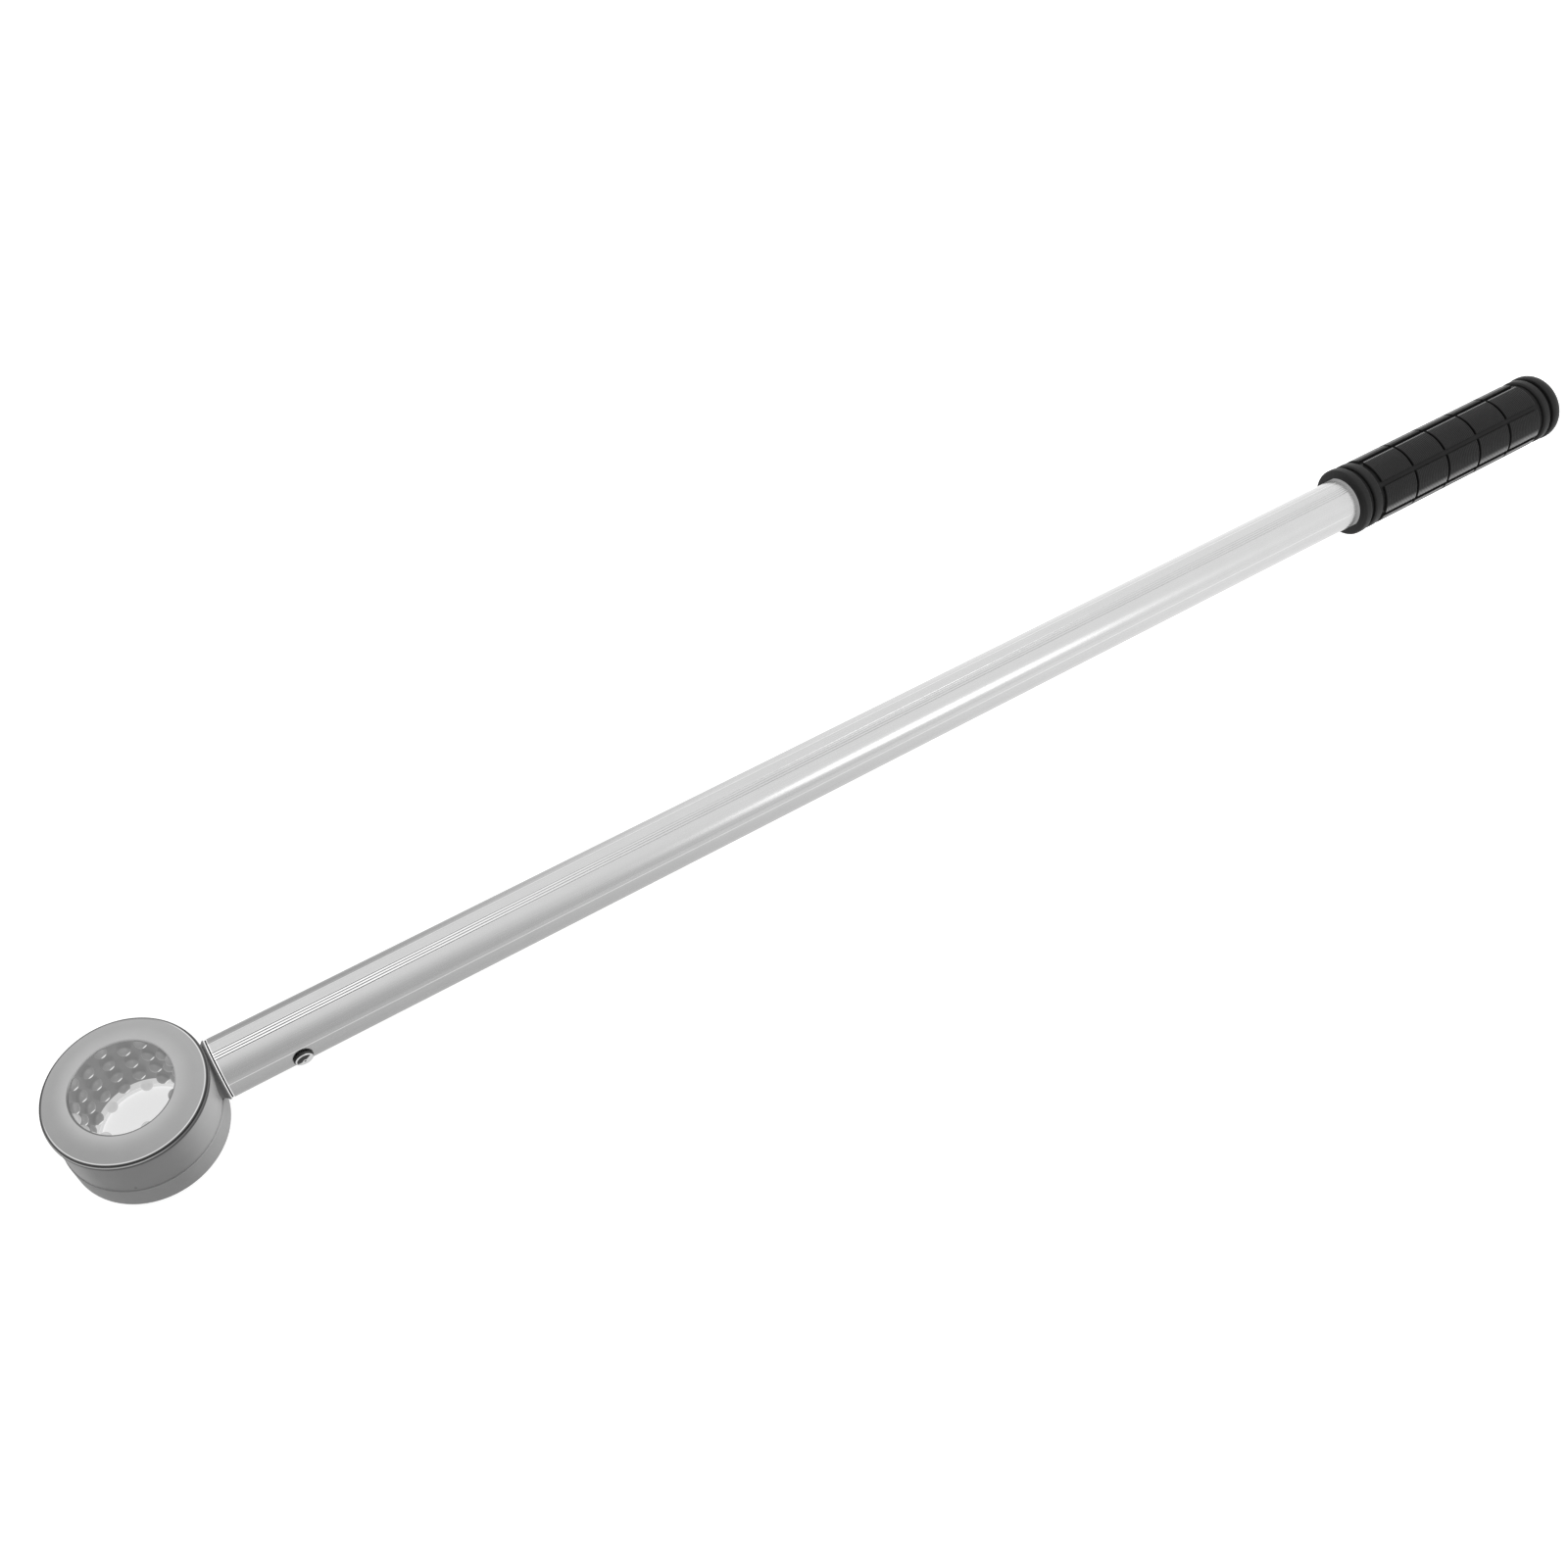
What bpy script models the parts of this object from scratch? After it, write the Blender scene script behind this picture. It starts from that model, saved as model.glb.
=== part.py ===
"""Golf ball retriever: a ring head with a soft ball gripper, on a fixed aluminium pole with a rubber grip.

The origin is on the ground under the middle of the object's length. +X runs along the pole from the
head to the grip, +Z is up, and the ring lies flat with its hole pointing up.
"""

from math import cos, pi, radians, sin

import bmesh
import bpy
from mathutils import Matrix, Vector

MM = 0.001
FIT_GAP = 0.3 * MM

# The ring head, measured from its own centre, which lies on the pole's axis.
HOLE_RADIUS = 21.6 * MM
LIP_HEIGHT = 22.5 * MM
LIP_THICKNESS = 0.9 * MM
LIP_LAND = 2.9 * MM
RIM_RADIUS = 34.0 * MM
RIM_HEIGHT = 19.0 * MM
CEILING_HEIGHT = 18.0 * MM
DOME_POWER = 1.5
DOME_STEPS = 3
FLANGE_RADIUS = 34.9 * MM
FLANGE_HEIGHT = 16.2 * MM
HOUSING_RADIUS = 34.2 * MM
HOUSING_WALL = 2.8 * MM
PARTING_HEIGHT = -6.2 * MM
BASE_RADIUS = 34.7 * MM
COVER_ROUND = 1.3 * MM
EDGE_BREAK = 0.3 * MM
SNAP_RIB_WALL = 1.5 * MM
SNAP_RIB_DEPTH = 3.2 * MM
COLLAR_WALL = 1.4 * MM
COLLAR_DEPTH = 5.0 * MM
RING_SEGMENTS = 48

# The soft sleeve that lines the hole, and the nubs that hold a ball of 42.67 mm. Even columns hold the
# nubs of levels 0, 2, 4 and 6, counted from the top, and odd columns those of levels 1, 3, 5 and 7.
SLEEVE_BORE = 22.9 * MM
SLEEVE_WALL = 2.0 * MM
NUB_RADIUS = 2.9 * MM
NUB_CENTRE = 22.3 * MM
NUB_ROOT = 1.3 * MM
NUB_COLUMNS = 16
NUB_LEVELS = 8
NUB_TOP = 19.5 * MM
NUB_STEP = 2 * NUB_TOP / (NUB_LEVELS - 1)
FIRST_COLUMN_ANGLE = radians(6.8)
NUB_SEGMENTS = 8
NUB_RINGS = 4

# The neck, the plate that the pole butts against, and the spigot inside the pole.
NECK_RADIUS = 12.5 * MM
NECK_START = 26.0 * MM
PLATE_RADIUS = 14.2 * MM
PLATE_START = 35.2 * MM
PLATE_END = 36.5 * MM
SPIGOT_RADIUS = 12.3 * MM
SPIGOT_BORE = 8.2 * MM
SPIGOT_END = 82.0 * MM
SPIGOT_FLOOR = 44.0 * MM
NECK_SEGMENTS = 48

# The gasket between the plate and the pole.
GASKET_THICKNESS = 0.8 * MM
GASKET_RADIUS = 13.9 * MM
GASKET_GAP = 0.2 * MM

# The extruded pole. Its fine lines run along its whole length.
POLE_RADIUS = 14.0 * MM
POLE_BORE = 12.6 * MM
POLE_START = 37.7 * MM
POLE_END = 840.0 * MM
GROOVE_ANGLES = [radians(0.5 + 5.0 * step) for step in range(4)]
GROOVE_WIDTH = radians(2.4)
GROOVE_DEPTH = 0.35 * MM
RIDGE_ANGLES = [radians(68.0 + 90.0 * step) for step in range(4)]
RIDGE_WIDTH = radians(1.6)
RIDGE_HEIGHT = 0.15 * MM
POLE_STEP = radians(7.5)

# The pan-head screw that holds the spigot.
SCREW_POSITION = 70.0 * MM
SCREW_HEAD_RADIUS = 4.6 * MM
SCREW_HEAD_HEIGHT = 2.3 * MM
SCREW_SHANK_RADIUS = 1.9 * MM
SCREW_LENGTH = 8.0 * MM
SCREW_SEAT = POLE_RADIUS + 0.1 * MM
SCREW_HOLE_RADIUS = 2.3 * MM
SCREW_PILOT_RADIUS = 2.1 * MM
SCREW_RIM = 0.5 * MM
SCREW_DOME_STEPS = 5
SCREW_HOLE_REACH = 1.5 * POLE_RADIUS
RECESS_LENGTH = 5.0 * MM
RECESS_WIDTH = 0.9 * MM
RECESS_DEPTH = 1.3 * MM
RECESS_TAPER = 0.6
SCREW_SEGMENTS = 24

# The plug in the pole's open end.
PLUG_RADIUS = 12.3 * MM
PLUG_BORE = 10.3 * MM
PLUG_DEPTH = 14.0 * MM
PLUG_CAP_RADIUS = 13.8 * MM
PLUG_CAP_THICKNESS = 1.5 * MM
PLUG_SEAT_GAP = 0.2 * MM
PLUG_SEGMENTS = 32

# The rubber grip. It covers the pole's end.
GRIP_START = 691.0 * MM
GRIP_END = 845.0 * MM
GRIP_BORE = POLE_RADIUS + FIT_GAP + RIDGE_HEIGHT
GRIP_ROOT = 17.0 * MM
GRIP_PAD_RADIUS = 18.6 * MM
GRIP_PAD_START = 707.4 * MM
GRIP_PAD_PITCH = 23.9 * MM
GRIP_PAD_GAP = 1.6 * MM
GRIP_PAD_ROWS = 5
FRONT_FLANGE = (GRIP_START, 696.5 * MM, 19.0 * MM)
FRONT_RING = (699.0 * MM, 704.5 * MM, 18.7 * MM)
BACK_RING = (829.3 * MM, 834.6 * MM, 18.6 * MM)
BACK_FLANGE = (836.3 * MM, GRIP_END, 18.9 * MM)
GRIP_EDGE = 1.1 * MM
GRIP_END_ROUND = 6.0 * MM
GRIP_SEGMENTS = 32

SMOOTH_ANGLE = radians(35)
MERGE_DISTANCE = 0.001 * MM

# The frame: the object's box starts at the flange and ends at the grip.
HEAD_X = -(GRIP_END - FLANGE_RADIUS) / 2
AXIS_Z = LIP_HEIGHT


def clear_scene():
    """Remove every object, so the file holds the retriever alone."""
    for thing in list(bpy.data.objects):
        bpy.data.objects.remove(thing, do_unlink=True)


def finish_material(name, colour, roughness, metallic=0.0):
    """One Principled material for one piece."""
    material = bpy.data.materials.new(name)
    material.use_nodes = True
    shader = material.node_tree.nodes["Principled BSDF"]
    shader.inputs["Base Color"].default_value = (*colour, 1.0)
    shader.inputs["Roughness"].default_value = roughness
    shader.inputs["Metallic"].default_value = metallic
    return material


def add_piece(name, bm, material=None, parent=None):
    """Turn a bmesh into a smooth-shaded object."""
    bmesh.ops.recalc_face_normals(bm, faces=bm.faces)
    mesh = bpy.data.meshes.new(name)
    bm.to_mesh(mesh)
    bm.free()
    mesh.shade_smooth()
    mesh.set_sharp_from_angle(angle=SMOOTH_ANGLE)
    piece = bpy.data.objects.new(name, mesh)
    bpy.context.collection.objects.link(piece)
    piece.parent = parent
    if material:
        mesh.materials.append(material)
    return piece


def add_cutter(name, bm, parent=None):
    """An object that only shapes another one."""
    cutter = add_piece(name, bm, parent=parent)
    cutter.hide_render = True
    cutter.display_type = "WIRE"
    return cutter


def combine(piece, other, operation):
    """Join or cut a piece with an exact Boolean."""
    boolean = piece.modifiers.new(other.name, "BOOLEAN")
    boolean.operation = operation
    boolean.solver = "EXACT"
    boolean.object = other


def turned(profile, segments, closed=False):
    """Spin an outline of (radius, height) points round Z. An open outline starts and ends on the axis."""
    bm = bmesh.new()
    corners = [bm.verts.new((radius, 0.0, height)) for radius, height in profile]
    first = 0 if closed else 1
    edges = [bm.edges.new((corners[i - 1], corners[i])) for i in range(first, len(corners))]
    geometry = corners + edges
    bmesh.ops.spin(
        bm, geom=geometry, cent=(0, 0, 0), axis=(0, 0, 1), angle=2 * pi, steps=segments, use_merge=True
    )
    bmesh.ops.remove_doubles(bm, verts=bm.verts, dist=MERGE_DISTANCE)
    return bm


def along_x(bm, start=0.0):
    """Lay a shape made on Z along X, from the given place."""
    bmesh.ops.rotate(bm, verts=bm.verts, cent=(0, 0, 0), matrix=Matrix.Rotation(pi / 2, 3, "Y"))
    bmesh.ops.translate(bm, verts=bm.verts, vec=(start, 0, 0))
    return bm


def corner_arc(centre, radius, start, end, steps):
    """Points of a rounded corner, between two angles in degrees."""
    angles = [radians(start + (end - start) * i / steps) for i in range(steps + 1)]
    return [(centre[0] + radius * cos(a), centre[1] + radius * sin(a)) for a in angles]


def cover_face(edge_radius, edge_height):
    """The domed face and rolled lip that both covers share, from the edge inwards."""
    land_end = HOLE_RADIUS + LIP_LAND
    lip = LIP_THICKNESS / 2
    points = []
    for step in range(DOME_STEPS + 1):
        share = step / DOME_STEPS
        radius = edge_radius + (land_end - edge_radius) * share
        height = LIP_HEIGHT - (LIP_HEIGHT - edge_height) * (1 - share) ** DOME_POWER
        points.append((radius, height))
    return points + corner_arc((HOLE_RADIUS + lip, LIP_HEIGHT - lip), lip, 90, 270, 3)


def cover_underside(joint):
    """The ribs under a cover: a collar round the sleeve, and a snap rib inside the housing."""
    pocket = SLEEVE_BORE + SLEEVE_WALL + FIT_GAP
    collar = pocket + COLLAR_WALL
    collar_end = LIP_HEIGHT - LIP_THICKNESS - COLLAR_DEPTH
    snap_radius = HOUSING_RADIUS - HOUSING_WALL - FIT_GAP
    return [
        (pocket, LIP_HEIGHT - LIP_THICKNESS),
        (pocket, collar_end),
        (collar, collar_end),
        (collar, CEILING_HEIGHT),
        (snap_radius - SNAP_RIB_WALL, CEILING_HEIGHT),
        (snap_radius - SNAP_RIB_WALL, joint - SNAP_RIB_DEPTH),
        (snap_radius, joint - SNAP_RIB_DEPTH),
        (snap_radius, joint),
    ]


def make_top_cover(head):
    """The upper cover, whose flange overhangs the housing."""
    round_centre = (RIM_RADIUS - COVER_ROUND / 2, RIM_HEIGHT - COVER_ROUND + EDGE_BREAK / 2)
    outline = [(FLANGE_RADIUS - EDGE_BREAK, FLANGE_HEIGHT), (FLANGE_RADIUS, FLANGE_HEIGHT + EDGE_BREAK)]
    outline += corner_arc(round_centre, COVER_ROUND, 20, 70, 2)
    outline += cover_face(RIM_RADIUS - 3 * EDGE_BREAK, RIM_HEIGHT + EDGE_BREAK)
    outline += cover_underside(FLANGE_HEIGHT)
    material = finish_material("smoked_plastic_cover", (0.36, 0.36, 0.36), 0.42)
    return add_piece("top_cover", turned(outline, RING_SEGMENTS, closed=True), material, head)


def make_base_cover(head):
    """The lower cover: a deep cup that meets the housing below the neck's middle."""
    joint = -PARTING_HEIGHT + FIT_GAP
    round_centre = (BASE_RADIUS - COVER_ROUND, RIM_HEIGHT - EDGE_BREAK)
    outline = [(BASE_RADIUS - EDGE_BREAK, joint), (BASE_RADIUS, joint + EDGE_BREAK)]
    outline += corner_arc(round_centre, COVER_ROUND, 0, 70, 3)
    outline += cover_face(BASE_RADIUS - COVER_ROUND - EDGE_BREAK, RIM_HEIGHT + 4 * EDGE_BREAK)
    outline += cover_underside(joint)
    flipped = [(radius, -height) for radius, height in outline]
    material = finish_material("smoked_plastic_base", (0.40, 0.40, 0.40), 0.42)
    cover = add_piece("base_cover", turned(flipped, RING_SEGMENTS, closed=True), material, head)
    collar = SLEEVE_BORE + SLEEVE_WALL + FIT_GAP + COLLAR_WALL
    notch = cylinder_along_x(NECK_RADIUS + FIT_GAP, collar + 1.0 * MM, PLATE_END, NECK_SEGMENTS)
    combine(cover, add_cutter("base_cover_notch", notch, head), "DIFFERENCE")
    return cover


def cylinder_along_x(radius, start, end, segments):
    """A closed cylinder on the pole's axis."""
    profile = [(0.0, 0.0), (radius, 0.0), (radius, end - start), (0.0, end - start)]
    return along_x(turned(profile, segments), start)


def screw_hole(radius):
    """A closed cylinder from the pole's axis out through its front, where the screw goes."""
    profile = [(0.0, 0.0), (radius, 0.0), (radius, SCREW_HOLE_REACH), (0.0, SCREW_HOLE_REACH)]
    bm = turned(profile, SCREW_SEGMENTS)
    bmesh.ops.rotate(bm, verts=bm.verts, cent=(0, 0, 0), matrix=Matrix.Rotation(pi / 2, 3, "X"))
    bmesh.ops.translate(bm, verts=bm.verts, vec=(SCREW_POSITION, 0, 0))
    return bm


def make_housing(head):
    """The ring wall with its neck, plate and hollow spigot, moulded in one."""
    inner = HOUSING_RADIUS - HOUSING_WALL
    top = FLANGE_HEIGHT - FIT_GAP
    wall = turned(
        [(inner, PARTING_HEIGHT), (HOUSING_RADIUS, PARTING_HEIGHT), (HOUSING_RADIUS, top), (inner, top)],
        RING_SEGMENTS,
        closed=True,
    )
    material = finish_material("smoked_plastic_housing", (0.30, 0.30, 0.30), 0.38)
    housing = add_piece("head_housing", wall, material, head)

    stem = [
        (0.0, NECK_START),
        (NECK_RADIUS, NECK_START),
        (NECK_RADIUS, PLATE_START),
        (PLATE_RADIUS - EDGE_BREAK, PLATE_START),
        (PLATE_RADIUS, PLATE_START + EDGE_BREAK),
        (PLATE_RADIUS, PLATE_END - EDGE_BREAK),
        (PLATE_RADIUS - EDGE_BREAK, PLATE_END),
        (SPIGOT_RADIUS, PLATE_END),
        (SPIGOT_RADIUS, SPIGOT_END - 1.0 * MM),
        (SPIGOT_RADIUS - 1.0 * MM, SPIGOT_END),
        (SPIGOT_BORE, SPIGOT_END),
        (SPIGOT_BORE, SPIGOT_FLOOR),
        (0.0, SPIGOT_FLOOR),
    ]
    neck = add_cutter("neck_stem", along_x(turned(stem, NECK_SEGMENTS)), head)
    combine(housing, neck, "UNION")

    reach = LIP_HEIGHT
    cavity = turned([(0.0, -reach), (inner, -reach), (inner, reach), (0.0, reach)], RING_SEGMENTS)
    combine(housing, add_cutter("ring_cavity", cavity, head), "DIFFERENCE")

    combine(housing, add_cutter("spigot_pilot", screw_hole(SCREW_PILOT_RADIUS), head), "DIFFERENCE")
    return housing


def make_sleeve(head):
    """The soft sleeve with its staggered columns of round nubs, which are trimmed clear of the lips."""
    half = LIP_HEIGHT - LIP_THICKNESS - FIT_GAP
    outside = SLEEVE_BORE + SLEEVE_WALL
    outline = [(SLEEVE_BORE, -half), (outside, -half), (outside, half), (SLEEVE_BORE, half)]
    material = finish_material("soft_sleeve", (0.26, 0.26, 0.26), 0.50)
    sleeve = add_piece("gripper_sleeve", turned(outline, RING_SEGMENTS, closed=True), material, head)

    bm = bmesh.new()
    for column in range(NUB_COLUMNS):
        angle = FIRST_COLUMN_ANGLE + 2 * pi * column / NUB_COLUMNS
        for level in range(column % 2, NUB_LEVELS, 2):
            dome = bmesh.ops.create_uvsphere(
                bm, u_segments=NUB_SEGMENTS, v_segments=NUB_RINGS, radius=NUB_RADIUS
            )["verts"]
            for corner in dome:
                corner.co.z = max(corner.co.z, -NUB_ROOT)
            bmesh.ops.rotate(bm, cent=(0, 0, 0), matrix=Matrix.Rotation(-pi / 2, 3, "Y"), verts=dome)
            bmesh.ops.translate(bm, vec=(NUB_CENTRE, 0, NUB_TOP - NUB_STEP * level), verts=dome)
            bmesh.ops.rotate(bm, cent=(0, 0, 0), matrix=Matrix.Rotation(angle, 3, "Z"), verts=dome)
    nubs = add_cutter("sleeve_nubs", bm, head)

    inside = HOLE_RADIUS - FIT_GAP
    for name, side in (("top_lip_trim", 1), ("base_lip_trim", -1)):
        near, far = side * (half - FIT_GAP), side * 2 * LIP_HEIGHT
        profile = [(inside, near), (RIM_RADIUS, near), (RIM_RADIUS, far), (inside, far)]
        trim = add_cutter(name, turned(profile, RING_SEGMENTS, closed=True), head)
        combine(nubs, trim, "DIFFERENCE")
    combine(sleeve, nubs, "UNION")
    return sleeve


def make_gasket(head):
    """The thin ring that seals the pole's mouth."""
    start = PLATE_END + GASKET_GAP
    inner = SPIGOT_RADIUS + FIT_GAP
    outline = [
        (inner, 0.0),
        (GASKET_RADIUS, 0.0),
        (GASKET_RADIUS, GASKET_THICKNESS),
        (inner, GASKET_THICKNESS),
    ]
    material = finish_material("black_gasket", (0.02, 0.02, 0.02), 0.7)
    ring = turned(outline, NECK_SEGMENTS, closed=True)
    return add_piece("neck_gasket", along_x(ring, start), material, head)


def pole_outline():
    """Angles and radii round the pole: a plain circle with fine grooves and ridges."""
    features = []
    for side in (0.0, pi):
        features += [(angle + side, GROOVE_WIDTH, -GROOVE_DEPTH) for angle in GROOVE_ANGLES]
    features += [(angle, RIDGE_WIDTH, RIDGE_HEIGHT) for angle in RIDGE_ANGLES]
    corners = []
    for angle, width, depth in features:
        corners.append((angle - width / 2, POLE_RADIUS))
        corners.append((angle, POLE_RADIUS + depth))
        corners.append((angle + width / 2, POLE_RADIUS))
    steps = round(2 * pi / POLE_STEP)
    for step in range(steps):
        angle = 2 * pi * step / steps
        clear = all(abs((angle - a + pi) % (2 * pi) - pi) > width for a, width, depth in features)
        if clear:
            corners.append((angle, POLE_RADIUS))
    return sorted((angle % (2 * pi), radius) for angle, radius in corners)


def make_pole(head):
    """The aluminium extrusion, open at both ends, with a hole for the screw."""
    bm = bmesh.new()
    outer = [bm.verts.new((0, -r * sin(a), r * cos(a))) for a, r in pole_outline()]
    bore_angles = [2 * pi * step / NECK_SEGMENTS for step in range(NECK_SEGMENTS)]
    inner = [bm.verts.new((0, -POLE_BORE * sin(a), POLE_BORE * cos(a))) for a in bore_angles]
    rims = [bm.edges.new((loop[i - 1], loop[i])) for loop in (outer, inner) for i in range(len(loop))]
    bmesh.ops.triangle_fill(bm, use_beauty=True, use_dissolve=False, edges=rims)
    run = bmesh.ops.extrude_face_region(bm, geom=bm.faces[:])["geom"]
    moved = [item for item in run if isinstance(item, bmesh.types.BMVert)]
    bmesh.ops.translate(bm, verts=moved, vec=(POLE_END - POLE_START, 0, 0))
    bmesh.ops.translate(bm, verts=bm.verts, vec=(POLE_START, 0, 0))
    material = finish_material("satin_aluminium", (0.72, 0.72, 0.72), 0.3, metallic=1.0)
    pole = add_piece("pole_tube", bm, material, head)

    combine(pole, add_cutter("pole_screw_hole", screw_hole(SCREW_HOLE_RADIUS), head), "DIFFERENCE")
    return pole


def screw_mesh():
    """A pan-head screw on its own axis, with its head up."""
    outline = [(0.0, -SCREW_LENGTH), (SCREW_SHANK_RADIUS / 2, -SCREW_LENGTH)]
    outline += [(SCREW_SHANK_RADIUS, -SCREW_LENGTH + SCREW_SHANK_RADIUS), (SCREW_SHANK_RADIUS, 0.0)]
    outline += [(SCREW_HEAD_RADIUS, 0.0), (SCREW_HEAD_RADIUS, SCREW_RIM)]
    for step in range(1, SCREW_DOME_STEPS):
        angle = pi / 2 * step / SCREW_DOME_STEPS
        rise = (SCREW_HEAD_HEIGHT - SCREW_RIM) * sin(angle)
        outline.append((SCREW_HEAD_RADIUS * cos(angle), SCREW_RIM + rise))
    outline.append((0.0, SCREW_HEAD_HEIGHT))
    return turned(outline, SCREW_SEGMENTS)


def recess_mesh():
    """The cross recess in the screw's head: a cross that narrows downwards."""
    bm = bmesh.new()
    long, short = RECESS_LENGTH / 2, RECESS_WIDTH / 2
    quarter = [(long, -short), (long, short), (short, short)]
    corners = []
    for turn in range(4):
        spin = Matrix.Rotation(turn * pi / 2, 3, "Z")
        corners += [spin @ Vector((x, y, -RECESS_DEPTH)) for x, y in quarter]
    cross = bm.faces.new([bm.verts.new(corner) for corner in corners])
    raised = bmesh.ops.extrude_face_region(bm, geom=[cross])["geom"]
    top = [item for item in raised if isinstance(item, bmesh.types.BMVert)]
    bmesh.ops.translate(bm, verts=top, vec=(0, 0, RECESS_DEPTH * 2))
    for corner in cross.verts:
        corner.co.x *= RECESS_TAPER
        corner.co.y *= RECESS_TAPER
    bmesh.ops.translate(bm, verts=bm.verts, vec=(0, 0, SCREW_HEAD_HEIGHT))
    return bm


def make_screw(head):
    """The screw, in at the pole's front."""
    material = finish_material("screw_chrome", (0.8, 0.8, 0.8), 0.15, metallic=1.0)
    screw = add_piece("neck_screw", screw_mesh(), material, head)
    recess = add_cutter("screw_recess", recess_mesh(), head)
    for thing in (screw, recess):
        thing.location = (SCREW_POSITION, -SCREW_SEAT, 0)
        thing.rotation_euler = (pi / 2, 0, 0)
    combine(screw, recess, "DIFFERENCE")
    return screw


def make_end_plug(head):
    """The cup-shaped plug that closes the pole under the grip."""
    outline = [
        (0.0, 0.0),
        (PLUG_BORE, 0.0),
        (PLUG_BORE, -PLUG_DEPTH),
        (PLUG_RADIUS, -PLUG_DEPTH),
        (PLUG_RADIUS, PLUG_SEAT_GAP),
        (PLUG_CAP_RADIUS, PLUG_SEAT_GAP),
        (PLUG_CAP_RADIUS, PLUG_CAP_THICKNESS),
        (0.0, PLUG_CAP_THICKNESS),
    ]
    material = finish_material("dark_plug", (0.05, 0.05, 0.05), 0.6)
    return add_piece("pole_end_plug", along_x(turned(outline, PLUG_SEGMENTS), POLE_END), material, head)


def raised_band(start, end, radius, edge):
    """Outline points of one raised band on the grip, with its edges bevelled."""
    return [
        (GRIP_ROOT, start),
        (radius - edge, start),
        (radius, start + edge),
        (radius, end - edge),
        (radius - edge, end),
        (GRIP_ROOT, end),
    ]


def make_grip(head):
    """The rubber sleeve with its flanges, rings and rows of pads."""
    outline = raised_band(*FRONT_FLANGE, GRIP_EDGE)
    outline += raised_band(*FRONT_RING, GRIP_EDGE)
    for row in range(GRIP_PAD_ROWS):
        start = GRIP_PAD_START + GRIP_PAD_PITCH * row
        end = start + GRIP_PAD_PITCH - GRIP_PAD_GAP
        outline += [(GRIP_ROOT, start), (GRIP_PAD_RADIUS, start), (GRIP_PAD_RADIUS, end), (GRIP_ROOT, end)]
    outline += raised_band(*BACK_RING, GRIP_EDGE)
    start, end, radius = BACK_FLANGE
    outline += [(GRIP_ROOT, start), (radius - GRIP_EDGE, start), (radius, start + GRIP_EDGE)]
    outline += corner_arc((radius - GRIP_END_ROUND, end - GRIP_END_ROUND), GRIP_END_ROUND, 0, 90, 4)
    outline.append((0.0, end))

    floor = POLE_END + PLUG_CAP_THICKNESS + FIT_GAP
    bore = [(0.0, floor), (GRIP_BORE, floor), (GRIP_BORE, GRIP_START)]
    material = finish_material("black_rubber", (0.03, 0.03, 0.03), 0.6)
    return add_piece("rubber_grip", along_x(turned(bore + outline, GRIP_SEGMENTS)), material, head)


def build():
    """Put the whole retriever together round the head's centre."""
    clear_scene()
    head = bpy.data.objects.new("head_centre", None)
    bpy.context.collection.objects.link(head)
    head.location = (HEAD_X, 0, AXIS_Z)
    make_housing(head)
    make_top_cover(head)
    make_base_cover(head)
    make_sleeve(head)
    make_gasket(head)
    make_pole(head)
    make_screw(head)
    make_end_plug(head)
    make_grip(head)


build()
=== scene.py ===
"""The finished looks of a golf ball retriever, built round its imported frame."""

from math import atan2, cos, pi, radians, sin

import bmesh
import bpy
from mathutils import Matrix, Vector


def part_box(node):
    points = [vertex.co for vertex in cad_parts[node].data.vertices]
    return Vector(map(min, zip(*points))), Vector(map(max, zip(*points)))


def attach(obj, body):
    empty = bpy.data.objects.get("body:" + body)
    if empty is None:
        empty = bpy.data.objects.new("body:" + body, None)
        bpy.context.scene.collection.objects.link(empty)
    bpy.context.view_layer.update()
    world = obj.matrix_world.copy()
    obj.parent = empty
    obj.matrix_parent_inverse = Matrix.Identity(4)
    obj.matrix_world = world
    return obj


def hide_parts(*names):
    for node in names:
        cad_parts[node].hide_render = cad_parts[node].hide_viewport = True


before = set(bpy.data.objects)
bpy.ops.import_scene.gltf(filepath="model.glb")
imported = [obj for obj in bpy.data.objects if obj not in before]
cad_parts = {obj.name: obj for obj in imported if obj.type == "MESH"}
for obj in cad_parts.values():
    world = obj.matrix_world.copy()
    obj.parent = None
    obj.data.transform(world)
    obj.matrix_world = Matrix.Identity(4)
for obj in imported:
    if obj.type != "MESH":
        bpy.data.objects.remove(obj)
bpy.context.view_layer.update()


# --- Camera, floor and light -------------------------------------------------------------------
# The tool lies flat on a pale table. The camera stands close over its head end, so the pole runs
# away from it. One soft box, a bright room and the glowing table light it.

MM = 0.001
sleeve_low, sleeve_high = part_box("gripper_sleeve")
HEAD = (sleeve_low + sleeve_high) / 2

CAMERA_PLACE = Vector((61.0, -414.0, 680.2)) * MM
camera_data = bpy.data.cameras.new("camera")
camera_data.lens = 39.51
camera_data.clip_start = 0.05
camera = bpy.data.objects.new("camera", camera_data)
bpy.context.scene.collection.objects.link(camera)
camera_right = Vector((0.84705, -0.53147, 0.00723)).normalized()
camera_back = Vector((-0.31632, -0.49312, 0.81042)).normalized()
camera_up = camera_back.cross(camera_right)
camera_turn = Matrix((camera_right, camera_up, camera_back)).transposed().to_4x4()
camera.matrix_world = Matrix.Translation(HEAD + CAMERA_PLACE) @ camera_turn
bpy.context.scene.camera = camera
bpy.context.scene.view_settings.view_transform = "Standard"


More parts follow.
